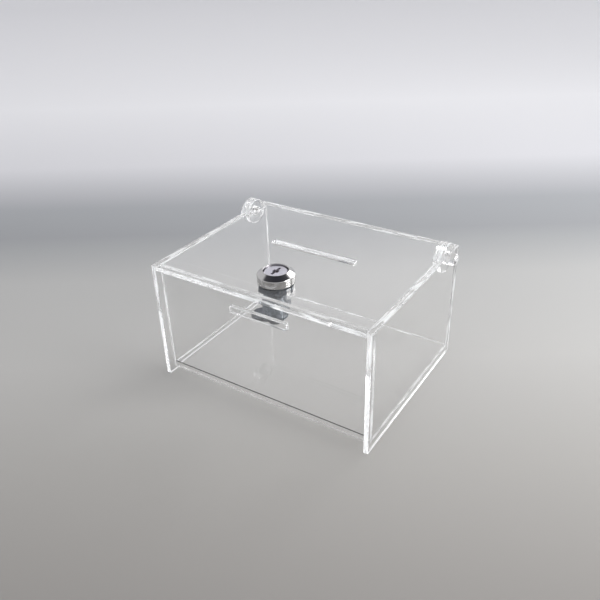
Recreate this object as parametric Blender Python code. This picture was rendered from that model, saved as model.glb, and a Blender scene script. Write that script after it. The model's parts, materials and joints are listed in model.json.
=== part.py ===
"""A clear acrylic donation box with a hinged lid, a payment slot and a cam lock in the lid.

Metres, +Z up. The front faces -Y, and the origin is on the table under the box's middle.
The box stands on the lower edges of its two side panels. The lid is shut, and the lock's
cam stands short of the keeper strip, so the lid is free to lift.
"""

import math

import bmesh
import bpy
from mathutils import Matrix, Vector

MM = 0.001
GAP = 0.3 * MM  # between pieces that touch

# Case, over the panels
WIDTH = 150 * MM
DEPTH = 118 * MM
HEIGHT = 80 * MM
SHEET = 3 * MM
FRONT_SETBACK = 4 * MM  # front panel behind the side panels' front edges
FLOOR_RAISE = 4 * MM  # bottom panel above the table
EDGE_CHAMFER = 0.2 * MM  # flame-polished sheet edges

# Lid hinge
HINGE_INSET = 17.5 * MM  # axis in front of the rear face
EAR_RADIUS = 9.5 * MM
PIN_RADIUS = 4 * MM
PIN_STANDOUT = 5 * MM  # pin beyond the side panel's outer face
PIN_CHAMFER = 0.4 * MM
RUNNING_CLEARANCE = 0.1 * MM  # round the pin, and round each wafer
LID_BACK_GAP = 0.5 * MM

# Payment slot
SLOT_LENGTH = 60 * MM
SLOT_WIDTH = 5 * MM
SLOT_CORNER = 1 * MM
SLOT_SETBACK = 65.2 * MM  # slot's middle behind the lid's front edge

# Keeper strip inside the front panel
KEEPER_LENGTH = 40 * MM
KEEPER_HEIGHT = 4.5 * MM
KEEPER_UNDERSIDE = 59.9 * MM
KEEPER_OFFSET = -1.5 * MM

# Lock
LOCK_SETBACK = 22 * MM
LOCK_OFFSET = 2 * MM
HEAD_RADIUS = 11.1 * MM
HEAD_HEIGHT = 7.4 * MM
BAND_HEIGHT = 5 * MM  # straight wall of the head, under its bevel
BAND_SOFTENING = 0.1 * MM  # where the wall meets the bevel
BAND_CHAMFER = 0.4 * MM  # at the wall's foot
RIM_WIDTH = 0.45 * MM
BARREL_RADIUS = 8 * MM
BARREL_HALF_FLATS = 7 * MM
PLUG_RADIUS = 5.5 * MM
PLUG_FACE_RADIUS = 7.05 * MM
PLUG_FACE_DEPTH = 0.9 * MM  # plug's face below the rim
PLUG_FLANGE = 1.4 * MM
PLUG_CHAMFER = 0.5 * MM
NUT_HALF_FLATS = 10 * MM
NUT_THICK = 3 * MM
NUT_CHAMFER = 0.3 * MM
CAM_THICK = 1.8 * MM
CAM_CLEARANCE = 0.4 * MM  # under the keeper strip
CAM_HUB_RADIUS = 7 * MM
CAM_END_RADIUS = 6 * MM
CAM_REACH = 8 * MM  # from the lock's axis to the middle of the cam's round end
CAM_HEADING = math.radians(208)
TURN_TO_OPEN = math.radians(-28)
TURN_TO_LOCK = math.radians(62)
TANG_HALF = 3.2 * MM
TANG_SETBACK = 0.4 * MM  # tang's end above the cam's underside
STOP_THICK = 0.8 * MM
STOP_RADIUS = 5.9 * MM
STOP_TAB_RADIUS = 7.7 * MM
STOP_TAB_HEADING = math.radians(73)
STOP_TAB_HALF_ANGLE = math.radians(12)
STOP_ANGLE_MARGIN = math.radians(1)
NOTCH_STEP = 0.05 * MM  # notch stops short of the recess that the washer turns in
SCREW_RADIUS = 1.9 * MM
SCREW_GRIP = 1.6 * MM  # screw's point above the stop washer's recess
SCREW_POINT_CHAMFER = 0.3 * MM
SCREW_HEAD_RADIUS = 4.4 * MM
SCREW_HEAD_THICK = 2.1 * MM
SCREW_HEAD_CHAMFER = 0.5 * MM
SCREW_RECESS_LENGTH = 4.8 * MM
SCREW_RECESS_WIDTH = 1 * MM
SCREW_RECESS_DEPTH = 1.2 * MM
SPLIT_WASHER_RADIUS = 4.2 * MM
SPLIT_WASHER_THICK = 0.7 * MM
SPLIT_HALF_ANGLE = math.radians(8)
KEYWAY_LENGTH = 9 * MM
KEYWAY_WIDTH = 1.6 * MM
KEYWAY_BULGE = 3.8 * MM
KEYWAY_BULGE_LENGTH = 2.8 * MM
KEYWAY_END = 65 * MM  # above the table

# Wafers and their springs, from the lock's axis
WAFERS = 4
WAFER_PITCH = 3 * MM
WAFER_THICK = 0.9 * MM
TOP_WAFER_RISE = 2.2 * MM  # top wafer above the lid
WAFER_HALF_X = 1.9 * MM
WAFER_HALF_Y = 4.9 * MM
WINDOW_HALF_X = 1.1 * MM
WINDOW_FRONT = -3.2 * MM
WINDOW_REAR = 3.4 * MM
WING_X = 3.45 * MM
WING_FRONT = 1 * MM
WING_REAR = 2.7 * MM
POCKET_FRONT = -2.9 * MM
POCKET_REAR = 3 * MM
SPRING_X = 2.875 * MM
SPRING_RADIUS = 0.45 * MM
SPRING_WIRE = 0.12 * MM
SPRING_TURNS = 4
SPRING_POINTS = 10  # round each turn
CUT_PAST = 5 * MM  # how far a cutting shape reaches past the metal

# Places worked out from the sizes above
FRONT = -DEPTH / 2
REAR = DEPTH / 2
INNER_X = WIDTH / 2 - SHEET
PANEL_HALF = INNER_X - GAP
LID_UNDERSIDE = HEIGHT - SHEET
HINGE = Vector((0, REAR - HINGE_INSET, HEIGHT - SHEET / 2))
FRONT_INNER_Y = FRONT + FRONT_SETBACK + SHEET
LOCK = Vector((LOCK_OFFSET, FRONT + LOCK_SETBACK, HEIGHT))
CAM_TOP = KEEPER_UNDERSIDE - CAM_CLEARANCE
CAM_UNDERSIDE = CAM_TOP - CAM_THICK
BARREL_END = CAM_TOP + GAP
STOP_TOP = BARREL_END + STOP_THICK
STOP_RECESS_TOP = STOP_TOP + GAP
RIM_TOP = HEIGHT + HEAD_HEIGHT
FLANGE_TOP = RIM_TOP - PLUG_FACE_DEPTH
FLANGE_UNDERSIDE = FLANGE_TOP - PLUG_FLANGE
TANG_END = CAM_UNDERSIDE + TANG_SETBACK
SCREW_HEAD_TOP = CAM_UNDERSIDE - GAP - SPLIT_WASHER_THICK - GAP
SCREW_TIP = STOP_RECESS_TOP + SCREW_GRIP
TOP_WAFER = HEIGHT + TOP_WAFER_RISE


def arc(centre, radius, start, end, steps):
    """Points on a circle from angle start to angle end, both included."""
    turns = [start + (end - start) * i / steps for i in range(steps + 1)]
    return [(centre[0] + radius * math.cos(t), centre[1] + radius * math.sin(t)) for t in turns]


def circle(radius, steps=48, centre=(0, 0)):
    return arc(centre, radius, 0, math.tau, steps)[:-1]


def rectangle(low_x, high_x, low_y, high_y):
    return [(low_x, low_y), (high_x, low_y), (high_x, high_y), (low_x, high_y)]


def turned_by(outline, angle):
    """The outline turned about the origin."""
    c, s = math.cos(angle), math.sin(angle)
    return [(c * x - s * y, s * x + c * y) for x, y in outline]


def moved_to(outline, centre):
    return [(x + centre[0], y + centre[1]) for x, y in outline]


def inset(loop, by):
    """An anticlockwise loop with every side moved inwards by a distance."""
    points = [Vector(point) for point in loop]
    moved = []
    for before, here, after in zip(points[-1:] + points[:-1], points, points[1:] + points[:1]):
        a, b = (here - before).normalized(), (after - here).normalized()
        moved.append(here + by * Vector((-a.y - b.y, a.x + b.x)) / (1 + a.dot(b)))
    return moved


def plate(outline, low, high, axis="Z", holes=(), chamfer=0.0):
    """A flat piece: the outline and its holes along the axis from low to high."""
    order = {"X": (2, 0, 1), "Y": (0, 2, 1), "Z": (0, 1, 2)}[axis]
    levels = [(low, chamfer), (high, chamfer)]
    if chamfer:
        levels[1:1] = [(low + chamfer, 0), (high - chamfer, 0)]
    bm = bmesh.new()
    ends = [[], []]
    for loop in (outline, *holes):
        inwards = 1 if loop is outline else -1
        rings = []
        for level, cut in levels:
            ring = [(u, v, level) for u, v in inset(loop, inwards * cut)]
            rings.append([bm.verts.new([point[i] for i in order]) for point in ring])
        for one, other in zip(rings, rings[1:]):
            for i in range(len(one)):
                bm.faces.new((one[i - 1], one[i], other[i], other[i - 1]))
        for end, ring in zip(ends, (rings[0], rings[-1])):
            end += [bm.edges.get((ring[i - 1], ring[i])) for i in range(len(ring))]
    for end in ends:
        bmesh.ops.triangle_fill(bm, use_beauty=True, edges=end)
    return bm


def turning(profile, steps=48, closed=False):
    """A turned piece: (radius, height) points spun about Z, with the ends on the axis."""
    bm = bmesh.new()
    verts = [bm.verts.new((radius, 0, height)) for radius, height in profile]
    ends = verts[1:] + (verts[:1] if closed else [])
    edges = [bm.edges.new(pair) for pair in zip(verts, ends)]
    bmesh.ops.spin(
        bm, geom=verts + edges, cent=(0, 0, 0), axis=(0, 0, 1), angle=math.tau, steps=steps
    )
    bmesh.ops.remove_doubles(bm, verts=bm.verts[:], dist=1e-7)
    return bm


def shifted(bm, place):
    bmesh.ops.translate(bm, vec=place, verts=bm.verts[:])
    return bm


def add(name, bm, material, origin=(0, 0, 0)):
    """One object from the mesh, with its own origin."""
    bmesh.ops.recalc_face_normals(bm, faces=bm.faces[:])
    mesh = bpy.data.meshes.new(name)
    bm.to_mesh(mesh)
    bm.free()
    mesh.transform(Matrix.Translation(-Vector(origin)))
    mesh.shade_smooth()
    mesh.set_sharp_from_angle(angle=math.radians(35))
    obj = bpy.data.objects.new(name, mesh)
    obj.location = origin
    obj.data.materials.append(material)
    bpy.context.scene.collection.objects.link(obj)
    return obj


def combine(obj, bm, operation, name):
    """Joins a hidden helper shape to the object, or cuts it away."""
    helper = add(name, bm, obj.data.materials[0])
    helper.hide_render = True
    helper.display_type = "WIRE"
    modifier = obj.modifiers.new(name, "BOOLEAN")
    modifier.operation = operation
    modifier.object = helper


def finish(name, colour, roughness, metallic=0.0, transmission=0.0):
    material = bpy.data.materials.new(name)
    material.use_nodes = True
    shader = material.node_tree.nodes["Principled BSDF"]
    shader.inputs["Base Color"].default_value = (*colour, 1)
    shader.inputs["Roughness"].default_value = roughness
    shader.inputs["Metallic"].default_value = metallic
    shader.inputs["Transmission Weight"].default_value = transmission
    return material


def make_side_panel(name, side, material):
    """Side panel: the hinge ear rises from its top edge in one piece with it."""
    ear = (HINGE.y, HINGE.z)
    meet = math.asin((HEIGHT - HINGE.z) / EAR_RADIUS)
    outline = [
        (FRONT, 0),
        (REAR, 0),
        (REAR, HEIGHT),
        *arc(ear, EAR_RADIUS, meet, math.pi - meet, 24),
        (FRONT, HEIGHT),
    ]
    hole = circle(PIN_RADIUS + RUNNING_CLEARANCE, centre=ear)
    faces = sorted((side * INNER_X, side * WIDTH / 2))
    add(name, plate(outline, *faces, axis="X", holes=[hole], chamfer=EDGE_CHAMFER), material)


def make_case_panels(material):
    """Front, rear and bottom panels, and the keeper strip, between the side panels."""
    front_y = FRONT + FRONT_SETBACK
    keeper_y = FRONT_INNER_Y + GAP
    panels = {
        "front_panel": (
            rectangle(-PANEL_HALF, PANEL_HALF, FLOOR_RAISE, LID_UNDERSIDE - GAP),
            (front_y, FRONT_INNER_Y, "Y"),
        ),
        "rear_panel": (
            rectangle(-PANEL_HALF, PANEL_HALF, FLOOR_RAISE, HEIGHT),
            (REAR - SHEET, REAR, "Y"),
        ),
        "bottom_panel": (
            rectangle(-PANEL_HALF, PANEL_HALF, FRONT_INNER_Y + GAP, REAR - SHEET - GAP),
            (FLOOR_RAISE, FLOOR_RAISE + SHEET, "Z"),
        ),
        "keeper_strip": (
            rectangle(
                KEEPER_OFFSET - KEEPER_LENGTH / 2,
                KEEPER_OFFSET + KEEPER_LENGTH / 2,
                KEEPER_UNDERSIDE,
                KEEPER_UNDERSIDE + KEEPER_HEIGHT,
            ),
            (keeper_y, keeper_y + SHEET, "Y"),
        ),
    }
    for name, (outline, sheet) in panels.items():
        add(name, plate(outline, *sheet, chamfer=EDGE_CHAMFER), material)


def slot_outline():
    half_x = SLOT_LENGTH / 2 - SLOT_CORNER
    half_y = SLOT_WIDTH / 2 - SLOT_CORNER
    corners = ((half_x, half_y), (-half_x, half_y), (-half_x, -half_y), (half_x, -half_y))
    points = []
    for i, corner in enumerate(corners):
        points += arc(corner, SLOT_CORNER, i * math.pi / 2, (i + 1) * math.pi / 2, 4)
    return moved_to(points, (0, FRONT + SLOT_SETBACK))


def flatted_circle(radius, half_flats):
    """A circle with a flat on its left and on its right, as on the lock's barrel."""
    half = math.acos(half_flats / radius)
    return arc((0, 0), radius, half, math.pi - half, 20) + arc(
        (0, 0), radius, math.pi + half, math.tau - half, 20
    )


def make_lid(material):
    """Lid panel, notched at both ends for the knuckles that turn on the hinge pins."""
    notch_x = PANEL_HALF - SHEET - GAP
    notch_front = HINGE.y - EAR_RADIUS - GAP
    notch_rear = HINGE.y + EAR_RADIUS + GAP
    back = REAR - SHEET - LID_BACK_GAP
    right = [
        (PANEL_HALF, FRONT),
        (PANEL_HALF, notch_front),
        (notch_x, notch_front),
        (notch_x, notch_rear),
        (PANEL_HALF, notch_rear),
        (PANEL_HALF, back),
    ]
    outline = right + [(-x, y) for x, y in reversed(right)]
    lock_hole = moved_to(flatted_circle(BARREL_RADIUS + GAP, BARREL_HALF_FLATS + GAP), LOCK)
    holes = [slot_outline(), lock_hole]
    sheet = plate(outline, LID_UNDERSIDE, HEIGHT, holes=holes, chamfer=EDGE_CHAMFER)
    add("lid_panel", sheet, material, origin=HINGE)
    axis = (HINGE.y, HINGE.z)
    bore = circle(PIN_RADIUS + RUNNING_CLEARANCE, centre=axis)
    for name, side in (("left_knuckle", -1), ("right_knuckle", 1)):
        faces = sorted((side * (PANEL_HALF - SHEET), side * PANEL_HALF))
        disc = circle(EAR_RADIUS, centre=axis)
        disc = plate(disc, *faces, axis="X", holes=[bore], chamfer=EDGE_CHAMFER)
        add(name, disc, material, origin=HINGE)


def make_hinge_pin(name, side, material):
    """Clear rod glued in the ear, which the lid's knuckle turns on."""
    inner = PANEL_HALF - SHEET
    outer = WIDTH / 2 + PIN_STANDOUT
    profile = [
        (0, outer),
        (PIN_RADIUS - PIN_CHAMFER, outer),
        (PIN_RADIUS, outer - PIN_CHAMFER),
        (PIN_RADIUS, inner + PIN_CHAMFER),
        (PIN_RADIUS - PIN_CHAMFER, inner),
        (0, inner),
    ]
    rod = turning(profile)
    bmesh.ops.rotate(rod, verts=rod.verts[:], matrix=Matrix.Rotation(side * math.pi / 2, 3, "Y"))
    add(name, shifted(rod, HINGE), material, origin=HINGE)


def make_lock_housing(material):
    """Turned head with a bevelled rim, and the flatted barrel that passes through the lid."""
    rim_inside = PLUG_FACE_RADIUS + GAP
    seat = FLANGE_UNDERSIDE - GAP
    profile = [
        (rim_inside, RIM_TOP),
        (rim_inside + RIM_WIDTH, RIM_TOP),
        (HEAD_RADIUS - BAND_SOFTENING, HEIGHT + BAND_HEIGHT + BAND_SOFTENING),
        (HEAD_RADIUS, HEIGHT + BAND_HEIGHT - BAND_SOFTENING),
        (HEAD_RADIUS, HEIGHT + GAP + BAND_CHAMFER),
        (HEAD_RADIUS - BAND_CHAMFER, HEIGHT + GAP),
        (BARREL_RADIUS, HEIGHT + GAP),
        (BARREL_RADIUS, BARREL_END),
        (STOP_RADIUS + GAP, BARREL_END),
        (STOP_RADIUS + GAP, STOP_RECESS_TOP),
        (PLUG_RADIUS + GAP / 2, STOP_RECESS_TOP),
        (PLUG_RADIUS + GAP / 2, seat),
        (rim_inside, seat),
    ]
    housing = shifted(turning(profile, steps=64, closed=True), (LOCK.x, LOCK.y, 0))
    housing = add("lock_housing", housing, material, origin=LOCK)
    for name, side in (("left_flat", -1), ("right_flat", 1)):
        faces = sorted((side * BARREL_HALF_FLATS, side * 2 * BARREL_RADIUS))
        outline = rectangle(*faces, -2 * BARREL_RADIUS, 2 * BARREL_RADIUS)
        flat = plate(moved_to(outline, LOCK), BARREL_END - CUT_PAST, HEIGHT + GAP / 2)
        combine(housing, flat, "DIFFERENCE", name)
    half_way = (TURN_TO_LOCK - TURN_TO_OPEN) / 2 + STOP_TAB_HALF_ANGLE + STOP_ANGLE_MARGIN
    middle = STOP_TAB_HEADING + (TURN_TO_LOCK + TURN_TO_OPEN) / 2
    sector = [(0, 0)] + arc((0, 0), 2 * BARREL_RADIUS, middle - half_way, middle + half_way, 12)
    notch_top = STOP_TOP + GAP - NOTCH_STEP
    notch = plate(moved_to(sector, LOCK), BARREL_END - CUT_PAST, notch_top)
    combine(housing, notch, "DIFFERENCE", "stop_notch")


def make_lock_nut(material):
    corner = NUT_HALF_FLATS / math.cos(math.pi / 6)
    hexagon = moved_to(circle(corner, 6), LOCK)
    hole = moved_to(circle(BARREL_RADIUS + GAP), LOCK)
    top = LID_UNDERSIDE - GAP
    nut = plate(hexagon, top - NUT_THICK, top, holes=[hole], chamfer=NUT_CHAMFER)
    add("lock_nut", nut, material, origin=LOCK)


def wafer_height(index):
    return TOP_WAFER - index * WAFER_PITCH


def make_lock_plug(material):
    """Turned plug: keyway from its face, a cross slot for each wafer, and a square tang."""
    profile = [
        (0, FLANGE_TOP),
        (PLUG_FACE_RADIUS - PLUG_CHAMFER, FLANGE_TOP),
        (PLUG_FACE_RADIUS, FLANGE_TOP - PLUG_CHAMFER),
        (PLUG_FACE_RADIUS, FLANGE_UNDERSIDE),
        (PLUG_RADIUS, FLANGE_UNDERSIDE),
        (PLUG_RADIUS, STOP_RECESS_TOP),
        (0, STOP_RECESS_TOP),
    ]
    body = shifted(turning(profile), (LOCK.x, LOCK.y, 0))
    plug = add("lock_plug", body, material, origin=LOCK)
    square = rectangle(-TANG_HALF, TANG_HALF, -TANG_HALF, TANG_HALF)
    square = moved_to(turned_by(square, CAM_HEADING), LOCK)
    combine(plug, plate(square, TANG_END, STOP_RECESS_TOP + MM), "UNION", "tang")
    bore = moved_to(circle(SCREW_RADIUS + GAP, 24), LOCK)
    bore = plate(bore, TANG_END - MM, SCREW_TIP + SCREW_POINT_CHAMFER + GAP)
    combine(plug, bore, "DIFFERENCE", "screw_hole")
    x, y = KEYWAY_WIDTH / 2, KEYWAY_LENGTH / 2
    bulge_x, bulge_y = KEYWAY_BULGE / 2, KEYWAY_BULGE_LENGTH / 2
    right = [(x, -y), (x, -bulge_y), (bulge_x, -bulge_y), (bulge_x, bulge_y), (x, bulge_y), (x, y)]
    keyway = moved_to(right + [(-u, v) for u, v in reversed(right)], LOCK)
    combine(plug, plate(keyway, KEYWAY_END, RIM_TOP), "DIFFERENCE", "keyway")
    for i in range(WAFERS):
        half_x = WAFER_HALF_X + RUNNING_CLEARANCE
        half_z = WAFER_THICK / 2 + RUNNING_CLEARANCE
        slot = moved_to(rectangle(-half_x, half_x, -PLUG_RADIUS - MM, PLUG_RADIUS + MM), LOCK)
        slot = plate(slot, wafer_height(i) - half_z, wafer_height(i) + half_z)
        combine(plug, slot, "DIFFERENCE", f"wafer_slot_{i + 1}")
        pocket = rectangle(WAFER_HALF_X / 2, WING_X + GAP, POCKET_FRONT, POCKET_REAR)
        half_z = SPRING_RADIUS + SPRING_WIRE + GAP
        pocket = plate(
            moved_to(pocket, LOCK), wafer_height(i) - half_z, wafer_height(i) + half_z
        )
        combine(plug, pocket, "DIFFERENCE", f"spring_pocket_{i + 1}")


def make_wafers(brass, steel):
    """Flat wafers with a window for the key and a wing that a small spring pushes on."""
    outline = [
        (-WAFER_HALF_X, -WAFER_HALF_Y),
        (WAFER_HALF_X, -WAFER_HALF_Y),
        (WAFER_HALF_X, WING_FRONT),
        (WING_X, WING_FRONT),
        (WING_X, WING_REAR),
        (WAFER_HALF_X, WING_REAR),
        (WAFER_HALF_X, WAFER_HALF_Y),
        (-WAFER_HALF_X, WAFER_HALF_Y),
    ]
    window = rectangle(-WINDOW_HALF_X, WINDOW_HALF_X, WINDOW_FRONT, WINDOW_REAR)
    for i in range(WAFERS):
        low = wafer_height(i) - WAFER_THICK / 2
        sheet = plate(
            moved_to(outline, LOCK), low, low + WAFER_THICK, holes=[moved_to(window, LOCK)]
        )
        add(f"wafer_{i + 1}", sheet, brass, origin=LOCK)
        make_wafer_spring(f"wafer_spring_{i + 1}", wafer_height(i), steel)


def make_wafer_spring(name, height, material):
    """Coil spring along Y, between the pocket's end wall and the wafer's wing."""
    start = POCKET_FRONT + GAP + SPRING_WIRE
    length = WING_FRONT - GAP - SPRING_WIRE - start
    middle = Vector((SPRING_X, start, height - HEIGHT))
    curve = bpy.data.curves.new(name, "CURVE")
    curve.dimensions = "3D"
    curve.bevel_depth = SPRING_WIRE
    curve.bevel_resolution = 1
    curve.use_fill_caps = True
    spline = curve.splines.new("POLY")
    spline.points.add(SPRING_TURNS * SPRING_POINTS)
    for i, point in enumerate(spline.points):
        angle = math.tau * i / SPRING_POINTS
        along = length * i / (SPRING_TURNS * SPRING_POINTS)
        ring = Vector((math.cos(angle) * SPRING_RADIUS, along, math.sin(angle) * SPRING_RADIUS))
        point.co = (*(middle + ring), 1)
    obj = bpy.data.objects.new(name, curve)
    obj.location = LOCK
    obj.data.materials.append(material)
    bpy.context.scene.collection.objects.link(obj)


def make_cam(material):
    """Flat cam: a hub and a smaller round end joined by tangents, on the plug's square tang."""
    lean = math.acos((CAM_HUB_RADIUS - CAM_END_RADIUS) / CAM_REACH)
    outline = arc((CAM_REACH, 0), CAM_END_RADIUS, -lean, lean, 20)
    outline += arc((0, 0), CAM_HUB_RADIUS, lean, math.tau - lean, 24)
    half = TANG_HALF + GAP
    hole = rectangle(-half, half, -half, half)
    loops = [moved_to(turned_by(loop, CAM_HEADING), LOCK) for loop in (outline, hole)]
    cam = plate(loops[0], CAM_UNDERSIDE, CAM_TOP, holes=loops[1:], chamfer=EDGE_CHAMFER)
    add("lock_cam", cam, material, origin=LOCK)


def make_stop_washer(material):
    """Stop washer: its tab runs in the notch at the barrel's end and limits the turn."""
    tab = STOP_TAB_HALF_ANGLE
    outline = arc((0, 0), STOP_TAB_RADIUS, -tab, tab, 4)
    outline += arc((0, 0), STOP_RADIUS, tab, math.tau - tab, 40)
    outline = moved_to(turned_by(outline, STOP_TAB_HEADING), LOCK)
    half = TANG_HALF + GAP
    hole = moved_to(turned_by(rectangle(-half, half, -half, half), CAM_HEADING), LOCK)
    washer = plate(outline, BARREL_END, STOP_TOP, holes=[hole])
    add("stop_washer", washer, material, origin=LOCK)


def make_cam_fastening(material):
    """Split washer and pan-head screw that hold the cam on the tang."""
    split = SPLIT_HALF_ANGLE
    ring = arc((0, 0), SPLIT_WASHER_RADIUS, split, math.tau - split, 40)
    ring += arc((0, 0), SCREW_RADIUS + GAP, math.tau - split, split, 40)
    low = SCREW_HEAD_TOP + GAP
    washer = plate(moved_to(ring, LOCK), low, low + SPLIT_WASHER_THICK)
    add("split_washer", washer, material, origin=LOCK)
    low = SCREW_HEAD_TOP - SCREW_HEAD_THICK
    profile = [
        (0, SCREW_TIP),
        (SCREW_RADIUS - SCREW_POINT_CHAMFER, SCREW_TIP),
        (SCREW_RADIUS, SCREW_TIP - SCREW_POINT_CHAMFER),
        (SCREW_RADIUS, SCREW_HEAD_TOP),
        (SCREW_HEAD_RADIUS, SCREW_HEAD_TOP),
        (SCREW_HEAD_RADIUS, low + SCREW_HEAD_CHAMFER),
        (SCREW_HEAD_RADIUS - SCREW_HEAD_CHAMFER, low),
        (0, low),
    ]
    body = shifted(turning(profile, steps=32), (LOCK.x, LOCK.y, 0))
    screw = add("cam_screw", body, material, origin=LOCK)
    long, wide = SCREW_RECESS_LENGTH / 2, SCREW_RECESS_WIDTH / 2
    for name, half_x, half_y in (("recess_across", long, wide), ("recess_along", wide, long)):
        arm = moved_to(rectangle(-half_x, half_x, -half_y, half_y), LOCK)
        combine(screw, plate(arm, low - MM, low + SCREW_RECESS_DEPTH), "DIFFERENCE", name)


def clear_scene():
    for obj in list(bpy.data.objects):
        bpy.data.objects.remove(obj, do_unlink=True)


def main():
    clear_scene()
    acrylic = finish("clear_acrylic", (0.93, 0.95, 0.95), 0.02, transmission=1.0)
    chrome = finish("chrome", (0.78, 0.77, 0.75), 0.08, metallic=1.0)
    nickel = finish("satin_nickel", (0.55, 0.54, 0.57), 0.35, metallic=1.0)
    zinc = finish("zinc_steel", (0.42, 0.43, 0.44), 0.4, metallic=1.0)
    brass = finish("brass", (0.78, 0.6, 0.3), 0.3, metallic=1.0)
    for name, side in (("left", -1), ("right", 1)):
        make_side_panel(f"{name}_side_panel", side, acrylic)
        make_hinge_pin(f"{name}_hinge_pin", side, acrylic)
    make_case_panels(acrylic)
    make_lid(acrylic)
    make_lock_housing(chrome)
    make_lock_nut(zinc)
    make_lock_plug(nickel)
    make_wafers(brass, zinc)
    make_cam(zinc)
    make_stop_washer(zinc)
    make_cam_fastening(zinc)


main()
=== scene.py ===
"""Clear acrylic donation box: a cemented case, a lid on two ear hinges, and a cam lock."""

import json
import math

import bmesh
import bpy
import numpy as np
from mathutils import Matrix, Vector
from mathutils.geometry import tessellate_polygon


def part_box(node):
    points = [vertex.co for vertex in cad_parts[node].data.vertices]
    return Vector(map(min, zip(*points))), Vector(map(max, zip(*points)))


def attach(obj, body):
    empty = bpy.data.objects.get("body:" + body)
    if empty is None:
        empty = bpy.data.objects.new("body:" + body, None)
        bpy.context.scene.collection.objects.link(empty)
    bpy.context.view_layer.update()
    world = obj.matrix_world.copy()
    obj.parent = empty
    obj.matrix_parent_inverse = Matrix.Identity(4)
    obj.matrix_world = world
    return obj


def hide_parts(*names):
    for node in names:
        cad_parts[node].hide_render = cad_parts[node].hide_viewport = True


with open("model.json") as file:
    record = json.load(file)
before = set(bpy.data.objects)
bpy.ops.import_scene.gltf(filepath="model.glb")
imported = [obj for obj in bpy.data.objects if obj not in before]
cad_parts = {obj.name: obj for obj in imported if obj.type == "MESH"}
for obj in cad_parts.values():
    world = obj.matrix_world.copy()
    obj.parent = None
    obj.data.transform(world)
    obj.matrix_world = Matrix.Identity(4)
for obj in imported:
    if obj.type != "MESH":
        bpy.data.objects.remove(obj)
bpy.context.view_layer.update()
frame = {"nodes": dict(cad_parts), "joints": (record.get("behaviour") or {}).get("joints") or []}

# --- Floor --------------------------------------------------------------------------
# The box stands on seamless pale grey paper. The daylight's falloff across it is
# painted into its colour: a painted darker band behind the box and a painted rise to
# near white beyond.

MM = 0.001
FLOOR_RADIUS = 6.0
FLOOR_SIDES = 96


def linear(code):
    """An sRGB hex colour as linear RGBA: each channel through the sRGB curve."""
    s = np.array([int(code[i : i + 2], 16) for i in (1, 3, 5)]) / 255
    return (*np.where(s <= 0.04045, s / 12.92, ((s + 0.055) / 1.055) ** 2.4).tolist(), 1.0)


def node(tree, kind, sockets=(), stops=(), **settings):
    """Adds a node, sets its options, gives each named socket a value or a link, and
    spreads the (place, colour) stops over it if it is a ramp."""
    made = tree.nodes.new(kind)
    for name, value in settings.items():
        setattr(made, name, value)
    for name, value in dict(sockets).items():
        if isinstance(value, bpy.types.NodeSocket):
            tree.links.new(value, made.inputs[name])
        else:
            made.inputs[name].default_value = value
    if stops:
        points = made.color_ramp.elements
        while len(points) < len(stops):
            points.new(1.0)
        for point, (place, colour) in zip(points, stops):
            point.position = place
            point.color = colour
    return made


def material(name):
    """An empty node material: its tree and its output node."""
    made = bpy.data.materials.new(name)
    made.use_nodes = True
    made.node_tree.nodes.clear()
    output = node(made.node_tree, "ShaderNodeOutputMaterial")
    return made, made.node_tree, output


def full_turn(steps):
    """Even angles once round."""
    return np.linspace(0, math.tau, steps, endpoint=False)


def seamless_paper():
    """Matt coated paper, with a painted falloff of daylight in its tone. Its fibre is drawn
    about a millimetre wide, coarser than real, so that the surface still shows a trace of it."""
    made, tree, output = material("seamless_paper")
    place = node(tree, "ShaderNodeTexCoord").outputs["Object"]
    fibre = node(tree, "ShaderNodeTexNoise", {"Vector": place, "Scale": 0.9 / MM, "Detail": 4.0})
    away = node(
        tree,
        "ShaderNodeVectorMath",
        {0: place, 1: (-0.552, 0.834, 0)},
        operation="DOT_PRODUCT",
    ).outputs["Value"]
    depth = node(tree, "ShaderNodeMapRange", {"Value": away, "From Min": -0.5, "From Max": 1.5})
    # Painted light: the tone is a painted falloff of daylight with depth, with a painted darker
    # band behind the box.
    painted_falloff_near = node(
        tree,
        "ShaderNodeValToRGB",
        {"Fac": depth.outputs["Result"]},
        stops=(
            (0.15, linear("#8a8784")),
            (0.20, linear("#a19f9c")),
            (0.25, linear("#b2b1af")),
            (0.31, linear("#b1b1b0")),
            (0.355, linear("#999b9e")),
            (0.39, linear("#a2a4a8")),
            (0.455, linear("#dadade")),
            (0.60, linear("#f2f2f5")),
        ),
    ).outputs["Color"]
    # Painted light: the paper is painted near white beyond 0.7 m, as if more light fell there.
    distance = node(tree, "ShaderNodeVectorMath", {0: place}, operation="LENGTH").outputs["Value"]
    painted_rise_beyond = node(
        tree,
        "ShaderNodeMapRange",
        {"Value": distance, "From Min": 0.7, "From Max": 2.2},
    ).outputs["Result"]
    tone = node(
        tree,
        "ShaderNodeMix",
        {"Factor": painted_rise_beyond, 6: painted_falloff_near, 7: linear("#e2e2e6")},
        data_type="RGBA",
    ).outputs[2]
    bump = node(
        tree,
        "ShaderNodeBump",
        {"Height": fibre.outputs["Fac"], "Strength": 0.15, "Distance": 0.05 * MM},
    )
    shader = node(
        tree,
        "ShaderNodeBsdfPrincipled",
        {"Base Color": tone, "Roughness": 0.85, "Normal": bump.outputs["Normal"]},
    )
    tree.links.new(shader.outputs["BSDF"], output.inputs["Surface"])
    return made


turn = full_turn(FLOOR_SIDES)
rim = FLOOR_RADIUS * np.stack([np.cos(turn), np.sin(turn), 0 * turn], axis=-1)
mesh = bpy.data.meshes.new("floor")
mesh.from_pydata(rim.tolist(), [], [list(range(FLOOR_SIDES))])
floor = bpy.data.objects.new("floor", mesh)
floor.data.materials.append(seamless_paper())
bpy.context.scene.collection.objects.link(floor)

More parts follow.
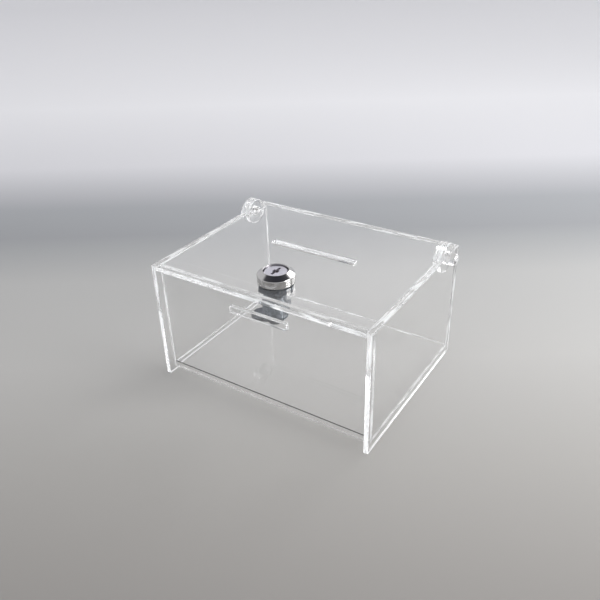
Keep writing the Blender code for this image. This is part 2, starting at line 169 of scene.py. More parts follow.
# --- Daylight -----------------------------------------------------------------------
# Pale walls under a dim ceiling, with one soft window behind the box. The sheets' edges
# and the chrome mirror them. A single soft lamp throws the faint shadow.


def grey(share):
    """An even grey that passes that share of the light."""
    return (share, share, share, 1.0)


world = bpy.data.worlds.new("studio")
bpy.context.scene.world = world
world.use_nodes = True
tree = world.node_tree
tree.nodes.clear()
direction = node(tree, "ShaderNodeTexCoord").outputs["Generated"]
height = node(tree, "ShaderNodeSeparateXYZ", {0: direction}).outputs["Z"]
walls = node(
    tree,
    "ShaderNodeValToRGB",
    {"Fac": height},
    stops=(
        (0.00, (0.66, 0.66, 0.68, 1)),
        (0.25, (0.80, 0.80, 0.82, 1)),
        (0.68, (0.80, 0.80, 0.81, 1)),
        (0.78, (0.10, 0.10, 0.11, 1)),
        (1.00, (0.05, 0.05, 0.06, 1)),
    ),
)
toward = node(
    tree,
    "ShaderNodeVectorMath",
    {0: direction, 1: (0.22, 0.88, 0.42)},
    operation="DOT_PRODUCT",
)
window = node(
    tree,
    "ShaderNodeValToRGB",
    {"Fac": toward.outputs["Value"]},
    stops=((0.92, grey(0)), (0.97, grey(1))),
)
wall_light = node(
    tree,
    "ShaderNodeBackground",
    {"Color": walls.outputs["Color"], "Strength": 1.1},
).outputs["Background"]
window_light = node(
    tree,
    "ShaderNodeBackground",
    {"Color": window.outputs["Color"], "Strength": 5.5},
).outputs["Background"]
sky = node(tree, "ShaderNodeAddShader", {0: wall_light, 1: window_light})
node(tree, "ShaderNodeOutputWorld", {"Surface": sky.outputs["Shader"]})

LAMP_PLACE = Vector((0.60, 0.18, 0.56))
LAMP_AIM = Vector((0.12, 0, 0))
light = bpy.data.lights.new("key_lamp", "AREA")
light.shape = "RECTANGLE"
light.size = 0.4
light.size_y = 0.4
light.energy = 4.6
light.color = linear("#ffffff")[:3]
key_lamp = bpy.data.objects.new("key_lamp", light)
key_lamp.location = LAMP_PLACE
key_lamp.rotation_euler = (LAMP_AIM - LAMP_PLACE).to_track_quat("-Z", "Y").to_euler()
bpy.context.scene.collection.objects.link(key_lamp)

# --- Camera -------------------------------------------------------------------------
# The view looks down on the front and right sides, a little to one side of the box's
# middle and tilted slightly.

AZIMUTH, ELEVATION, ROLL = (math.radians(angle) for angle in (33.49, 30.65, -1.63))
DISTANCE = 0.4238
MIDDLE = Vector((0, 0, 0.040))
STEP_ASIDE = -5.67 * MM
STEP_UP = 6.70 * MM
back = Vector(
    (
        math.sin(AZIMUTH) * math.cos(ELEVATION),
        -math.cos(AZIMUTH) * math.cos(ELEVATION),
        math.sin(ELEVATION),
    )
)
level_right = (-back).cross(Vector((0, 0, 1))).normalized()
level_up = level_right.cross(-back)
right = math.cos(ROLL) * level_right + math.sin(ROLL) * level_up
up = math.cos(ROLL) * level_up - math.sin(ROLL) * level_right
eye = MIDDLE + DISTANCE * back + STEP_ASIDE * right + STEP_UP * up
camera = bpy.data.objects.new("camera", bpy.data.cameras.new("camera"))
camera.data.sensor_width = 36.0
camera.data.lens = 39.3
camera.data.clip_start = 0.01
camera.matrix_world = Matrix.Translation(eye) @ Matrix((right, up, back)).transposed().to_4x4()
bpy.context.scene.collection.objects.link(camera)
bpy.context.scene.camera = camera
bpy.context.scene.view_settings.view_transform = "Standard"
bpy.context.scene.cycles.max_bounces = 40
bpy.context.scene.cycles.glossy_bounces = 32
bpy.context.scene.cycles.transmission_bounces = 32
bpy.context.scene.cycles.transparent_max_bounces = 32

# --- Clear sheet --------------------------------------------------------------------
# Every panel is 3 mm cast acrylic, saw-cut and flame-polished: the flame rounds the
# corners and leaves a faintly rippled, bright edge, which also has a little painted glow.
# The faces stay flat and clear.

ACRYLIC_IOR = 1.49
CORNER = 0.3 * MM
CORNER_STEPS = 4
ROUNDING = 0.25 * MM
ROUNDING_STEPS = 4
RIPPLE = 0.012 * MM
LONG_WAVE = 9 * MM
SHORT_WAVE = 3.7 * MM
WAVE_SHIFT = 1.3
STEP = 1.2 * MM
FOOT_SLOPE = 0.6
FACE, EDGE, FOOT = 0, 1, 2


def passes_light(tree, output, surface, dimmed):
    """Shows the surface, but lets shadow and diffuse rays straight on, dimmed to the
    given colour, so that lamps and walls light what stands behind a clear sheet."""
    straight = node(tree, "ShaderNodeBsdfTransparent", {"Color": dimmed})
    path = node(tree, "ShaderNodeLightPath").outputs
    lit = node(
        tree,
        "ShaderNodeMath",
        {0: path["Is Shadow Ray"], 1: path["Is Diffuse Ray"]},
        operation="MAXIMUM",
    )
    mixed = node(
        tree,
        "ShaderNodeMixShader",
        {"Fac": lit.outputs["Value"], 1: surface, 2: straight.outputs["BSDF"]},
    )
    tree.links.new(mixed.outputs["Shader"], output.inputs["Surface"])


def clear_acrylic():
    """Cast acrylic, clear and glossy as it left its mould. Where light grazes it, more is
    mirrored and less passes."""
    made, tree, output = material("clear_acrylic")
    clear = node(
        tree,
        "ShaderNodeBsdfPrincipled",
        {
            "Base Color": linear("#fefefe"),
            "Roughness": 0.0,
            "IOR": ACRYLIC_IOR,
            "Transmission Weight": 1.0,
        },
    )
    glance = node(tree, "ShaderNodeLayerWeight", {"Blend": 0.35}).outputs["Facing"]
    dimmed = node(
        tree,
        "ShaderNodeValToRGB",
        {"Fac": glance},
        stops=((0.0, grey(1)), (0.5, grey(0.97)), (1.0, grey(0.55))),
    ).outputs["Color"]
    passes_light(tree, output, clear.outputs["BSDF"], dimmed)
    return made


def polished_edge(name, frost):
    """Flame-polished saw cut: clear, with whitish streaks about 20 mm long and 3 mm wide
    left along the cut. The streaks give out a little light, which stands for what the
    sheet carries to its edges."""
    made, tree, output = material(name)
    along = node(tree, "ShaderNodeUVMap", uv_map="along_edge").outputs["UV"]
    drawn_out = node(tree, "ShaderNodeMapping", {"Vector": along, "Scale": (0.05, 0.3, 1.0)})
    streak = node(
        tree,
        "ShaderNodeTexNoise",
        {"Vector": drawn_out.outputs["Vector"], "Scale": 1.0, "Detail": 2.0, "Roughness": 0.4},
    ).outputs["Fac"]
    clear = node(
        tree,
        "ShaderNodeBsdfPrincipled",
        {
            "Base Color": linear("#fefefe"),
            "Roughness": 0.05,
            "IOR": ACRYLIC_IOR,
            "Transmission Weight": 1.0,
        },
    )
    white = node(tree, "ShaderNodeBsdfDiffuse", {"Color": linear("#f6f8f9")})
    through = node(tree, "ShaderNodeBsdfTranslucent", {"Color": linear("#f6f8f9")})
    halves = {"Fac": 0.5, 1: white.outputs["BSDF"], 2: through.outputs["BSDF"]}
    haze = node(tree, "ShaderNodeMixShader", halves)
    # Painted light: the streaks glow by emission, in place of the light the sheet carries to its
    # edges.
    painted_glow = node(tree, "ShaderNodeEmission", {"Color": linear("#f6f8f9"), "Strength": 0.25})
    haze_and_glow = {0: haze.outputs["Shader"], 1: painted_glow.outputs["Emission"]}
    haze_and_painted_glow = node(tree, "ShaderNodeAddShader", haze_and_glow)
    amount = node(
        tree,
        "ShaderNodeValToRGB",
        {"Fac": streak},
        stops=((0.50, grey(frost)), (0.58, grey(0.75))),
    ).outputs["Color"]
    surface = node(
        tree,
        "ShaderNodeMixShader",
        {"Fac": amount, 1: clear.outputs["BSDF"], 2: haze_and_painted_glow.outputs["Shader"]},
    )
    passes_light(tree, output, surface.outputs["Shader"], grey(0.75))
    return made


def sawn_edge():
    """Edge left as the saw cut it, then cemented: evenly frosted and pale grey, with saw
    marks 0.7 mm apart and a dark line, 0.5 mm wide, along its upper side: cement, with
    painted shade of the gap between the front and bottom panels."""
    made, tree, output = material("sawn_edge")
    along = node(tree, "ShaderNodeUVMap", uv_map="along_edge").outputs["UV"]
    cuts = node(tree, "ShaderNodeMapping", {"Vector": along, "Scale": (1.5, 0.2, 1.0)})
    marks = node(
        tree,
        "ShaderNodeTexNoise",
        {"Vector": cuts.outputs["Vector"], "Scale": 1.0, "Detail": 2.0},
    ).outputs["Fac"]
    frosted = node(
        tree,
        "ShaderNodeValToRGB",
        {"Fac": marks},
        stops=((0.3, linear("#c4c3c1")), (0.7, linear("#d2d1cf"))),
    ).outputs["Color"]
    across = node(tree, "ShaderNodeSeparateXYZ", {0: along}).outputs["Y"]
    # The dark line is the cement and a painted shade of the gap between the front and bottom
    # panels.
    cement_and_shade = node(tree, "ShaderNodeMath", {0: across, 1: 2.5}, operation="GREATER_THAN")
    tone = node(
        tree,
        "ShaderNodeMix",
        {"Factor": cement_and_shade.outputs["Value"], 6: frosted, 7: linear("#2c2c2d")},
        data_type="RGBA",
    ).outputs[2]
    front = node(tree, "ShaderNodeBsdfDiffuse", {"Color": tone})
    through = node(tree, "ShaderNodeBsdfTranslucent", {"Color": tone})
    surface = node(
        tree,
        "ShaderNodeMixShader",
        {"Fac": 0.4, 1: front.outputs["BSDF"], 2: through.outputs["BSDF"]},
    )
    passes_light(tree, output, surface.outputs["Shader"], grey(0.8))
    return made


acrylic = clear_acrylic()
sawn = sawn_edge()
bright_edge = polished_edge("polished_edge", 0.14)
cemented_edge = polished_edge("cemented_edge", 0.22)


def arc(centre, radius, start, end, steps):
    """Points on a circle from one angle to another."""
    turn = np.linspace(start, end, steps + 1)
    return np.array(centre) + radius * np.stack([np.cos(turn), np.sin(turn)], axis=-1)


def rectangle(x0, x1, y0, y1, radius=CORNER, steps=CORNER_STEPS):
    """A rectangle with round corners, anticlockwise from its upper right."""
    left, right, lower, upper = x0 + radius, x1 - radius, y0 + radius, y1 - radius
    centres = ((right, upper), (left, upper), (left, lower), (right, lower))
    quarter = math.pi / 2
    rounds = [arc(c, radius, i * quarter, (i + 1) * quarter, steps) for i, c in enumerate(centres)]
    return np.vstack(rounds)


def spaced(loop, step):
    """The same closed loop without doubled points and with extra ones, so that no side is
    longer than step, and the length run at each point, the whole length last."""
    closed = np.vstack([loop, loop[:1]])
    length = np.r_[0, np.cumsum(np.linalg.norm(np.diff(closed, axis=0), axis=1))]
    keep = np.r_[True, np.diff(length) > 1e-7]
    closed, length = closed[keep], length[keep]
    extra = np.linspace(0, length[-1], int(length[-1] / step))
    places = np.unique(np.r_[length, extra].round(8))[:-1]
    ring = np.stack([np.interp(places, length, closed[:, i]) for i in (0, 1)], axis=-1)
    return ring, np.r_[places, length[-1]]


def inward(loop):
    """How each point moves when every side moves in by one: sum of normals over 1 + cosine."""
    ahead = np.roll(loop, -1, axis=0) - loop
    ahead /= np.linalg.norm(ahead, axis=1, keepdims=True)
    behind = np.roll(ahead, 1, axis=0)
    both = ahead + behind
    cosine = (ahead * behind).sum(axis=1, keepdims=True)
    return np.stack([-both[:, 1], both[:, 0]], axis=-1) / (1 + cosine)


def quads(rows, columns, base=0, close_rows=False):
    """Corner numbers of the faces between rows of points; each row is a closed ring."""
    r = np.arange(rows if close_rows else rows - 1)[:, None]
    c = np.arange(columns)[None, :]
    after_r, after_c = (r + 1) % rows, (c + 1) % columns
    corners = (r * columns + c, r * columns + after_c, after_r * columns + after_c)
    corners = np.stack((*corners, after_r * columns + c), axis=-1)
    return base + corners.reshape(-1, 4)


def filled(points, rings):
    """Triangles that fill the first ring of point numbers and spare the other rings."""
    flat = [[Vector((*points[i, :2], 0)) for i in ring] for ring in rings]
    return np.concatenate(rings)[np.array(tessellate_polygon(flat))]


def piece(name, points, faces, materials, corners=None, which=None, flat=None, angle=40):
    """One mesh object: faces outward, its UV corners, its material numbers, smooth shading."""
    mesh = bpy.data.meshes.new(name)
    mesh.from_pydata(points.tolist(), [], [list(face) for face in faces])
    if corners is not None:
        layer = mesh.uv_layers.new(name="along_edge")
        layer.data.foreach_set("uv", np.asarray(corners, np.float32).ravel())
    if which is not None:
        mesh.polygons.foreach_set("material_index", np.asarray(which, np.int32))
    bm = bmesh.new()
    bm.from_mesh(mesh)
    bmesh.ops.recalc_face_normals(bm, faces=bm.faces[:])
    if bm.calc_volume(signed=True) < 0:
        bmesh.ops.reverse_faces(bm, faces=bm.faces[:])
    bm.to_mesh(mesh)
    bm.free()
    mesh.shade_smooth()
    mesh.set_sharp_from_angle(angle=math.radians(angle))
    if flat is not None:
        plain = mesh.attributes.new("sharp_face", "BOOLEAN", "FACE")
        plain.data.foreach_set("value", np.asarray(flat, bool))
    made = bpy.data.objects.new(name, mesh)
    for one in materials:
        made.data.materials.append(one)
    made.modifiers.new("even_shading", "WEIGHTED_NORMAL").keep_sharp = True
    bpy.context.scene.collection.objects.link(made)
    return made


def sheet(name, outline, near, far, axis="Z", holes=(), edge=bright_edge, step=STEP, foot=None):
    """A flat sheet between two levels. Its rim is a flat edge with quarter-round corners,
    carried round each loop and pulled in by the sum of two sines of the length run. Its
    two faces fill the innermost rings. Where a foot is given, it finishes the edges whose
    inward way points up the outline's second axis."""
    bend = np.linspace(0, math.pi / 2, ROUNDING_STEPS + 1)
    pulled, risen = ROUNDING * (1 - np.sin(bend)), ROUNDING * (1 - np.cos(bend))
    cut = np.r_[pulled, pulled[::-1]]
    level = np.r_[near + risen, far - risen[::-1]]
    points, faces, corners, which, ends = [], [], [], [], ([], [])
    base = 0
    for loop in (outline, *holes):
        outermost = loop is outline
        ring, length = spaced(loop, step)
        way = inward(ring) * (1 if outermost else -1)
        run = length[:-1]
        wave = 2 + np.sin(run / LONG_WAVE) + np.sin(run / SHORT_WAVE + WAVE_SHIFT)
        offset = cut[:, None] + RIPPLE / 4 * wave * (1 - cut[:, None] / ROUNDING)
        flat = ring[None] + offset[..., None] * way[None]
        rows, columns = flat.shape[:2]
        heights = np.broadcast_to(level[:, None, None], (rows, columns, 1))
        points.append(np.concatenate([flat, heights], axis=-1).reshape(-1, 3))
        faces += quads(rows, columns, base).tolist()
        grid = np.stack(np.meshgrid(length / MM, (level - near) / MM), axis=-1)
        around = (grid[:-1, :-1], grid[:-1, 1:], grid[1:, 1:], grid[1:, :-1])
        corners.append(np.stack(around, axis=-2).reshape(-1, 2))
        on_foot = (way[:, 1] > FOOT_SLOPE) & (foot is not None)
        kinds = np.where(on_foot, FOOT, EDGE) if outermost else np.full(columns, FACE)
        which += np.tile(kinds, rows - 1).tolist()
        ends[0].append(np.arange(base, base + columns))
        ends[1].append(np.arange(base + (rows - 1) * columns, base + rows * columns))
        base += rows * columns
    points = np.vstack(points)
    rims = len(faces)
    for end in ends:
        triangles = filled(points, end)
        faces += triangles.tolist()
        corners.append(points[triangles.ravel(), :2] / MM)
        which += [FACE] * len(triangles)
    order = {"X": (2, 0, 1), "Y": (0, 2, 1), "Z": (0, 1, 2)}[axis]
    finishes = [acrylic, edge, foot or acrylic]
    flat_faces = np.arange(len(faces)) >= rims
    return piece(name, points[:, order], faces, finishes, np.vstack(corners), which, flat_faces)


def stands_for(made, body, cad_node):
    """The piece moves with a body, and is shown in place of a CAD node."""
    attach(made, body)
    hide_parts(cad_node)


# --- Case panels --------------------------------------------------------------------
# Front, rear and bottom are cemented between the two sides, which stand on their lower
# edges. The keeper strip that the cam catches is cemented inside the front.

for name, axis, foot in (
    ("front_panel", "Y", acrylic),
    ("rear_panel", "Y", acrylic),
    ("bottom_panel", "Z", sawn),
    ("keeper_strip", "Y", None),
):
    low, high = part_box(name)
    u, v, w = {"Y": (0, 2, 1), "Z": (0, 1, 2)}[axis]
    outline = rectangle(low[u], high[u], low[v], high[v])
    made = sheet(name + "_sheet", outline, low[w], high[w], axis, edge=cemented_edge, foot=foot)
    stands_for(made, "case", name)

# --- Side panels --------------------------------------------------------------------
# Each side carries its hinge ear in one piece: a round that rises from the top edge,
# bored for the clear rod that the lid turns on.

HINGE = Vector(next(j for j in frame["joints"] if j["name"] == "lid_hinge")["pos_m"])
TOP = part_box("rear_panel")[1].z
BORE_GAP = 0.1 * MM
EAR_STEPS = 48
BORE_STEPS = 96
ear_low, ear_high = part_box("left_knuckle")
EAR_RADIUS = (ear_high.z - ear_low.z) / 2
pin_low, pin_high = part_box("left_hinge_pin")
PIN_RADIUS = (pin_high.z - pin_low.z) / 2
meet = math.asin((TOP - HINGE.z) / EAR_RADIUS)
ear = arc(HINGE.yz, EAR_RADIUS, meet, math.pi - meet, EAR_STEPS)
bore = arc(HINGE.yz, PIN_RADIUS + BORE_GAP, 0, math.tau, BORE_STEPS)[:-1]
for name in ("left_side_panel", "right_side_panel"):
    low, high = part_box(name)
    first_corner, others = np.split(rectangle(low.y, high.y, low.z, TOP), [CORNER_STEPS + 1])
    outline = np.vstack([first_corner, ear, others])
    made = sheet(name + "_sheet", outline, low.x, high.x, "X", holes=[bore], foot=acrylic)
    stands_for(made, "case", name)

# --- Lid ----------------------------------------------------------------------------
# One sheet with a slot for coins and folded notes and a flatted hole for the lock,
# notched at both rear ends where its knuckles are cemented on.

NOTCH_GAP = 0.3 * MM
SLOT_LENGTH = 60 * MM
SLOT_WIDTH = 5 * MM
SLOT_FROM_FRONT = 65.2 * MM
SLOT_CORNER = 1 * MM
SLOT_CORNER_STEPS = 8
LOCK_HOLE_RADIUS = 8.3 * MM
LOCK_HOLE_HALF_FLATS = 7.3 * MM
LOCK_HOLE_STEPS = 40
KNUCKLE_SIDES = 128
KNUCKLE_STEP = 0.5 * MM
LOCK = Vector(next(j for j in frame["joints"] if j["name"] == "lock_turn")["pos_m"])


def flatted(radius, half_flats, steps):
    """A circle round the lock with a flat on its left and on its right."""
    half = math.acos(half_flats / radius)
    far_side = arc(LOCK.xy, radius, half, math.pi - half, steps)
    near_side = arc(LOCK.xy, radius, math.pi + half, math.tau - half, steps)
    return np.vstack([far_side, near_side])


low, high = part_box("lid_panel")
notch_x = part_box("right_knuckle")[0].x - NOTCH_GAP
notch_low, notch_high = ear_low.y - NOTCH_GAP, ear_high.y + NOTCH_GAP
right_side = np.array(
    [
        (high.x, low.y),
        (high.x, notch_low),
        (notch_x, notch_low),
        (notch_x, notch_high),
        (high.x, notch_high),
        (high.x, high.y),
    ]
)
outline = np.vstack([right_side, right_side[::-1] * (-1, 1)])
slot_y = low.y + SLOT_FROM_FRONT
slot = rectangle(
    -SLOT_LENGTH / 2,
    SLOT_LENGTH / 2,
    slot_y - SLOT_WIDTH / 2,
    slot_y + SLOT_WIDTH / 2,
    SLOT_CORNER,
    SLOT_CORNER_STEPS,
)
lock_hole = flatted(LOCK_HOLE_RADIUS, LOCK_HOLE_HALF_FLATS, LOCK_HOLE_STEPS)
lid = sheet("lid_sheet", outline, low.z, high.z, holes=[slot, lock_hole])
stands_for(lid, "lid", "lid_panel")
disc = arc(HINGE.yz, EAR_RADIUS, 0, math.tau, KNUCKLE_SIDES)[:-1]
for name in ("left_knuckle", "right_knuckle"):
    low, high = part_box(name)
    made = sheet(name + "_disc", disc, low.x, high.x, "X", holes=[bore], step=KNUCKLE_STEP)
    stands_for(made, "lid", name)

# --- Hinge rods ---------------------------------------------------------------------
# Two short lengths of clear acrylic rod, faced off and cemented into the ears.

ROD_SIDES = 128
ROD_ROUNDING = 0.4 * MM


def rings(radius, height, turn):
    """Rings of points round +Z: each row's radius and height, at every angle of turn."""
    columns = np.broadcast_arrays(radius * np.cos(turn), radius * np.sin(turn), height)
    return np.stack(columns, axis=-1)


def softened(profile, radius, steps=4):
    """The profile with each inner corner replaced by a round: a quadratic curve from a
    point before the corner, drawn towards it, to a point after it. It takes less than
    half of either side."""
    profile = np.asarray(profile, float)
    rows = [profile[:1]]
    for before, here, after in zip(profile, profile[1:], profile[2:]):
        back, on = before - here, after - here
        long_back, long_on = np.linalg.norm(back), np.linalg.norm(on)
        reach = min(radius, long_back / 2.2, long_on / 2.2)
        start, end = here + reach * back / long_back, here + reach * on / long_on
        t = np.linspace(0, 1, steps + 1)[:, None]
        rows.append((1 - t) ** 2 * start + 2 * t * (1 - t) * here + t**2 * end)
    return np.vstack([*rows, profile[-1:]])


for name, way in (("left_hinge_pin", -1), ("right_hinge_pin", 1)):
    low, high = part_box(name)
    near, far = sorted((abs(low.x), abs(high.x)))
    profile = softened(
        [(ROD_ROUNDING, near), (PIN_RADIUS, near), (PIN_RADIUS, far), (ROD_ROUNDING, far)],
        ROD_ROUNDING,
    )
    points = rings(profile[:, :1], profile[:, 1:], full_turn(ROD_SIDES)).reshape(-1, 3)
    faces = quads(len(profile), ROD_SIDES).tolist()
    faces.append(list(range(ROD_SIDES)))
    faces.append(list(range(len(points) - ROD_SIDES, len(points))))
    points = points[:, (2, 0, 1)] * (way, 1, 1) + np.array((0, HINGE.y, HINGE.z))
    made = piece(name + "_rod", points, faces, [acrylic])
    stands_for(made, "case", name)

# --- Lock housing -------------------------------------------------------------------
# Die-cast zinc with a polished, chrome-plated head: a wide bevel up to a thin rim. The
# threaded barrel has two flats that keep it from turning in the lid, and a notch in its
# lower end, in which the stop washer's tab turns.

HEAD_RADIUS = 11.1 * MM
HEAD_ROUNDING = 0.35 * MM
SKIRT_HEIGHT = 5 * MM
RIM_INSIDE = 7.35 * MM
RIM_WIDTH = 0.45 * MM
FACE_SEAT = 84.8 * MM
BORE = 5.65 * MM
BARREL_RADIUS = 8 * MM
HALF_FLATS = 7 * MM
HEAD_GAP = 0.3 * MM
BARREL_TOP_GAP = 0.25 * MM
HEAD_TUCK = 0.4 * MM
RECESS_RADIUS = 6.2 * MM
RECESS_TOP = 60.9 * MM
STOP_TOP = 60.85 * MM
STOP_HALF_ANGLE = math.radians(60)
THREAD_PITCH = 1 * MM
THREAD_DEPTH = 0.4 * MM
THREAD_START = 0.5 * MM
BARREL_ROWS = 300
LOCK_SIDES = 160


def chrome_plate():
    """Polished chrome plating: a neutral mirror, faintly orange-peeled every 2 mm by the
    casting under it and smeared by handling over patches of 5 to 6 mm."""
    made, tree, output = material("chrome_plate")
    place = node(tree, "ShaderNodeTexCoord").outputs["Object"]
    peel = node(tree, "ShaderNodeTexNoise", {"Vector": place, "Scale": 0.5 / MM, "Detail": 2.0})
    bump = node(
        tree,
        "ShaderNodeBump",
        {"Height": peel.outputs["Fac"], "Strength": 0.05, "Distance": 0.05 * MM},
    )
    smear = node(tree, "ShaderNodeTexNoise", {"Vector": place, "Scale": 0.18 / MM, "Detail": 4.0})
    rough = node(
        tree,
        "ShaderNodeMapRange",
        {"Value": smear.outputs["Fac"], "To Min": 0.04, "To Max": 0.12},
    )
    shader = node(
        tree,
        "ShaderNodeBsdfPrincipled",
        {
            "Base Color": linear("#b9b8b7"),
            "Metallic": 1.0,
            "Roughness": rough.outputs["Result"],
            "Normal": bump.outputs["Normal"],
        },
    )
    tree.links.new(shader.outputs["BSDF"], output.inputs["Surface"])
    return made


def zinc_casting():
    """Bare die-cast zinc alloy: dull blue-grey, mottled by the die over 1 to 2 mm."""
    made, tree, output = material("zinc_casting")
    place = node(tree, "ShaderNodeTexCoord").outputs["Object"]
    mottle = node(tree, "ShaderNodeTexNoise", {"Vector": place, "Scale": 0.6 / MM, "Detail": 4.0})
    tone = node(
        tree,
        "ShaderNodeValToRGB",
        {"Fac": mottle.outputs["Fac"]},
        stops=((0.3, linear("#666b70")), (0.7, linear("#8f9499"))),
    ).outputs["Color"]
    shader = node(
        tree,
        "ShaderNodeBsdfPrincipled",
        {"Base Color": tone, "Metallic": 1.0, "Roughness": 0.28},
    )
    tree.links.new(shader.outputs["BSDF"], output.inputs["Surface"])
    return made


housing_low, housing_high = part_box("lock_housing")
head = softened(
    [
        (BORE, FACE_SEAT),
        (RIM_INSIDE, FACE_SEAT),
        (RIM_INSIDE, housing_high.z),
        (RIM_INSIDE + RIM_WIDTH, housing_high.z),
        (HEAD_RADIUS, LOCK.z + SKIRT_HEIGHT),
        (HEAD_RADIUS, LOCK.z + HEAD_GAP),
        (BARREL_RADIUS - HEAD_TUCK, LOCK.z + HEAD_GAP),
    ],
    HEAD_ROUNDING,
)[:-1]
turn = full_turn(LOCK_SIDES)
in_stop = np.abs(turn - math.pi / 2) < STOP_HALF_ANGLE
barrel_end = np.where(in_stop, STOP_TOP, housing_low.z)
barrel_top = LOCK.z + BARREL_TOP_GAP
barrel_z = barrel_top + (barrel_end - barrel_top) * np.linspace(0, 1, BARREL_ROWS)[:, None]
# The thread is a triangle wave of the height less the turn, faded in below the head.
ridge = 1 - np.abs(2 * ((barrel_z / THREAD_PITCH - turn / math.tau) % 1) - 1)
fade = np.clip((LOCK.z - THREAD_START - barrel_z) / THREAD_PITCH, 0, 1)
barrel = rings(BARREL_RADIUS - THREAD_DEPTH * (1 - ridge) * fade, barrel_z, turn)
barrel[..., 0] = np.clip(barrel[..., 0], -HALF_FLATS, HALF_FLATS)
inside_radius = np.array([RECESS_RADIUS, RECESS_RADIUS, BORE])[:, None]
inside_z = np.array([housing_low.z, RECESS_TOP, RECESS_TOP])[:, None]
inside = rings(inside_radius, inside_z, turn)
inside[0, :, 2] = barrel_end
rows = np.concatenate([rings(head[:, :1], head[:, 1:], turn), barrel, inside])
points = rows.reshape(-1, 3) + np.array((LOCK.x, LOCK.y, 0))
faces = quads(len(rows), LOCK_SIDES, close_rows=True)
bare = np.arange(len(faces)) >= len(head) * LOCK_SIDES
finishes = [chrome_plate(), zinc_casting()]
housing = piece("lock_housing_casting", points, faces, finishes, which=bare, angle=35)
stands_for(housing, "lid", "lock_housing")

# --- Lock nut -----------------------------------------------------------------------
# A thin hexagon nut of zinc-plated steel that clamps the lid against the head.

NUT_SIDES = 180
NUT_ROWS = 14
CHAMFER_WIDTH = 1.4 * MM
CHAMFER_HEIGHT = 0.6 * MM
NUT_BORE_GAP = 0.3 * MM


def zinc_plate():
    """Bright zinc over stamped or turned steel: bluish grey, softly mottled every 1 to
    2 mm, where the real spangle is finer."""
    made, tree, output = material("zinc_plate")
    place = node(tree, "ShaderNodeTexCoord").outputs["Object"]
    mottle = node(
        tree,
        "ShaderNodeTexNoise",
        {"Vector": place, "Scale": 0.7 / MM, "Detail": 5.0},
    ).outputs["Fac"]
    tone = node(
        tree,
        "ShaderNodeValToRGB",
        {"Fac": mottle},
        stops=((0.3, linear("#565b61")), (0.7, linear("#7b8087"))),
    ).outputs["Color"]
    rough = node(tree, "ShaderNodeMapRange", {"Value": mottle, "To Min": 0.22, "To Max": 0.42})
    bump = node(
        tree,
        "ShaderNodeBump",
        {"Height": mottle, "Strength": 0.08, "Distance": 0.03 * MM},
    )
    shader = node(
        tree,
        "ShaderNodeBsdfPrincipled",
        {
            "Base Color": tone,
            "Metallic": 1.0,
            "Roughness": rough.outputs["Result"],
            "Normal": bump.outputs["Normal"],
        },
    )
    tree.links.new(shader.outputs["BSDF"], output.inputs["Surface"])
    return made


zinc = zinc_plate()
nut_low, nut_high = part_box("lock_nut")
half_width = (nut_high.y - nut_low.y) / 2
half_corners = half_width / math.cos(math.pi / 6)
turn = full_turn(NUT_SIDES)
hexagon = half_width / np.cos((turn % (math.pi / 3)) - math.pi / 6)
# A cone cuts the six corners back towards each face of the nut.
rise = np.linspace(nut_low.z, nut_high.z, NUT_ROWS)
from_face = np.minimum(rise - nut_low.z, nut_high.z - rise)
cone = half_corners - CHAMFER_WIDTH * np.clip(1 - from_face / CHAMFER_HEIGHT, 0, 1)
outer = np.minimum(hexagon[None, :], cone[:, None])
inner = np.full((2, NUT_SIDES), BARREL_RADIUS + NUT_BORE_GAP)
height = np.r_[rise, nut_high.z, nut_low.z][:, None]
rows = rings(np.concatenate([outer, inner]), height, turn)
points = rows.reshape(-1, 3) + np.array((LOCK.x, LOCK.y, 0))
faces = quads(len(rows), NUT_SIDES, close_rows=True)
nut = piece("lock_nut_hexagon", points, faces, [zinc], angle=25)
stands_for(nut, "lid", "lock_nut")

# --- Lock plug ----------------------------------------------------------------------
# The turned plug that the key turns: a brushed nickel face a little below the rim, cut
# by the keyway, and a square tang at its lower end for the cam.

PLUG_RADIUS = 5.5 * MM
PLUG_NECK = 4.6 * MM
PLUG_ROUNDING = 0.15 * MM
FACE_CHAMFER = 0.5 * MM
FLANGE_THICKNESS = 1.4 * MM
TANG_HALF = 3.2 * MM
TANG_RADIUS = 4.3 * MM
CAM_HEADING = math.radians(208)
KEYWAY_END = 65 * MM
KEYWAY_HALF_WIDTH = 0.8 * MM
KEYWAY_HALF_LENGTH = 4.5 * MM
WARD_HALF_WIDTH = 1.9 * MM
WARD_HALF_LENGTH = 1.4 * MM


def brushed_nickel():
    """Nickel plate brushed from front to back: lilac-grey, with scratches drawn 0.2 mm
    apart and 3 mm long, coarser than the real brushing, so that they show."""
    made, tree, output = material("brushed_nickel")
    place = node(tree, "ShaderNodeTexCoord").outputs["Object"]
    scratches = (6 / MM, 0.3 / MM, 0.3 / MM)
    across = node(tree, "ShaderNodeMapping", {"Vector": place, "Scale": scratches})
    brushing = node(
        tree,
        "ShaderNodeTexNoise",
        {"Vector": across.outputs["Vector"], "Scale": 1.0, "Detail": 3.0},
    ).outputs["Fac"]
    tone = node(
        tree,
        "ShaderNodeValToRGB",
        {"Fac": brushing},
        stops=((0.3, linear("#c3c1cb")), (0.7, linear("#e6e4ec"))),
    ).outputs["Color"]
    bump = node(
        tree,
        "ShaderNodeBump",
        {"Height": brushing, "Strength": 0.12, "Distance": 0.02 * MM},
    )
    shader = node(
        tree,
        "ShaderNodeBsdfPrincipled",
        {
            "Base Color": tone,
            "Metallic": 1.0,
            "Roughness": 0.38,
            "Normal": bump.outputs["Normal"],
        },
    )
    tree.links.new(shader.outputs["BSDF"], output.inputs["Surface"])
    return made


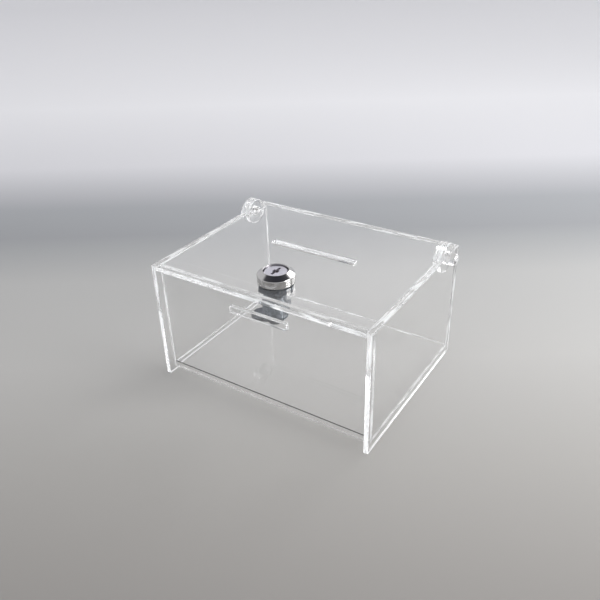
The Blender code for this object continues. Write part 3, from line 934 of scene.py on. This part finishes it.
plug_low, plug_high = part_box("lock_plug")
face_radius = (plug_high.x - plug_low.x) / 2
flange_underside = plug_high.z - FLANGE_THICKNESS
skin = softened(
    [
        (face_radius - FACE_CHAMFER, plug_high.z),
        (face_radius, plug_high.z - FACE_CHAMFER),
        (face_radius, flange_underside),
        (PLUG_RADIUS, flange_underside),
        (PLUG_RADIUS, RECESS_TOP),
        (PLUG_NECK, RECESS_TOP),
    ],
    PLUG_ROUNDING,
)
turn = full_turn(LOCK_SIDES)
# The tang is a square in polar form, cut off round at its corners.
slant = np.maximum(np.abs(np.cos(turn - CAM_HEADING)), np.abs(np.sin(turn - CAM_HEADING)))
tang = np.minimum(TANG_HALF / slant, TANG_RADIUS)
tang_rows = rings(tang, np.array([[RECESS_TOP], [plug_low.z]]), turn)
rows = np.concatenate([rings(skin[:, :1], skin[:, 1:], turn), tang_rows])
points = rows.reshape(-1, 3)
faces = quads(len(rows), LOCK_SIDES).tolist()
faces.append(list(range(len(points) - LOCK_SIDES, len(points))))
half_keyhole = np.array(
    [
        (KEYWAY_HALF_WIDTH, -KEYWAY_HALF_LENGTH),
        (KEYWAY_HALF_WIDTH, -WARD_HALF_LENGTH),
        (WARD_HALF_WIDTH, -WARD_HALF_LENGTH),
        (WARD_HALF_WIDTH, WARD_HALF_LENGTH),
        (KEYWAY_HALF_WIDTH, WARD_HALF_LENGTH),
        (KEYWAY_HALF_WIDTH, KEYWAY_HALF_LENGTH),
    ]
)
keyhole = np.vstack([half_keyhole, half_keyhole[::-1] * (-1, 1)])
count = len(keyhole)
base = len(points)
mouth = np.column_stack([keyhole, np.full(count, plug_high.z)])
pit = np.column_stack([keyhole, np.full(count, KEYWAY_END)])
points = np.vstack([points, mouth, pit])
faces += quads(2, count, base).tolist()
faces.append(list(range(base + count, base + 2 * count)))
faces += filled(points, [np.arange(LOCK_SIDES), np.arange(base, base + count)]).tolist()
points += np.array((LOCK.x, LOCK.y, 0))
plug = piece("lock_plug_turning", points, faces, [brushed_nickel()], angle=30)
stands_for(plug, "plug", "lock_plug")

# --- Cam and its fastening ----------------------------------------------------------
# A flat stamped cam on the tang, below the stop washer, held by a split washer and a
# pan-head screw. All are zinc-plated steel.


def coat(name, finish):
    """Gives a CAD node its finish."""
    frame["nodes"][name].data.materials.clear()
    frame["nodes"][name].data.materials.append(finish)


for name in ("lock_cam", "stop_washer", "split_washer", "cam_screw"):
    coat(name, zinc)

# --- Wafers and springs -------------------------------------------------------------
# Stamped brass wafers that the key lifts, each pushed by a hair-fine coil spring of
# plated steel wire.

WAFERS = 4


def stamped_brass():
    """Yellow brass strip: warm and satin, a little darker where it has tarnished, in
    patches of 2 to 3 mm."""
    made, tree, output = material("stamped_brass")
    place = node(tree, "ShaderNodeTexCoord").outputs["Object"]
    tarnish = node(tree, "ShaderNodeTexNoise", {"Vector": place, "Scale": 0.4 / MM, "Detail": 4.0})
    tone = node(
        tree,
        "ShaderNodeValToRGB",
        {"Fac": tarnish.outputs["Fac"]},
        stops=((0.3, linear("#b08d4a")), (0.7, linear("#d9b569"))),
    ).outputs["Color"]
    shader = node(
        tree,
        "ShaderNodeBsdfPrincipled",
        {"Base Color": tone, "Metallic": 1.0, "Roughness": 0.3},
    )
    tree.links.new(shader.outputs["BSDF"], output.inputs["Surface"])
    return made


brass = stamped_brass()
for number in range(1, WAFERS + 1):
    coat(f"wafer_{number}", brass)
    coat(f"wafer_spring_{number}", zinc)
